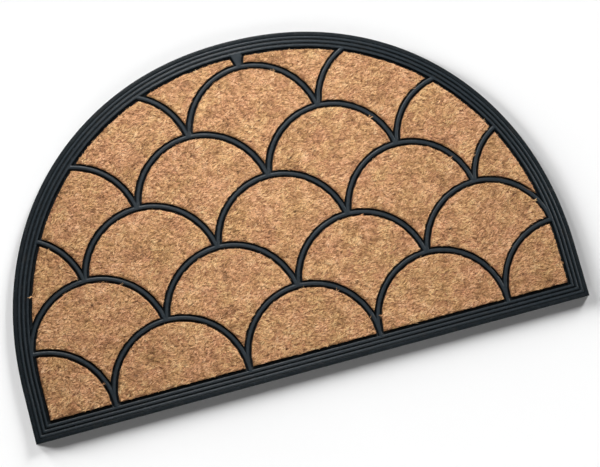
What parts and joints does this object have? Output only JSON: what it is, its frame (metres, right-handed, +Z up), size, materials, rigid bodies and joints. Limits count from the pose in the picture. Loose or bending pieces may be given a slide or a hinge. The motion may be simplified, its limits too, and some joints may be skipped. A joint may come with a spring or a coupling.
{
  "type": "coir doormat",
  "caption": "Flat half-round doormat for wiping shoes: bristly coir pads in scallop shapes, held in a black rubber tray with low ribs between them and a ridged border.",
  "frame": {"origin": "on the floor under the middle of the mat's bounding box, in the plane of the flat underside", "axes": "+X along the straight edge, +Y from the straight edge towards the crown of the arch, +Z up"},
  "size_m": [0.762, 0.457, 0.0095],
  "materials": {
    "black_rubber": "satin",
    "coir": "matte, bristly"
  },
  "bodies": {
    "root": {"rubber_tray": "black_rubber", "coir_pad_a1": "coir", "coir_pad_a2": "coir", "coir_pad_a3": "coir", "coir_pad_a4": "coir", "coir_pad_a5": "coir", "coir_pad_b1": "coir", "coir_pad_b2": "coir", "coir_pad_b3": "coir", "coir_pad_b4": "coir", "coir_pad_c1": "coir", "coir_pad_c2": "coir", "coir_pad_c3": "coir", "coir_pad_c4": "coir", "coir_pad_c5": "coir", "coir_pad_d1": "coir", "coir_pad_d2": "coir", "coir_pad_d3": "coir", "coir_pad_d4": "coir", "coir_pad_e1": "coir", "coir_pad_e2": "coir", "coir_pad_e3": "coir", "coir_pad_f1": "coir", "coir_pad_f2": "coir"}
  },
  "joints": []
}
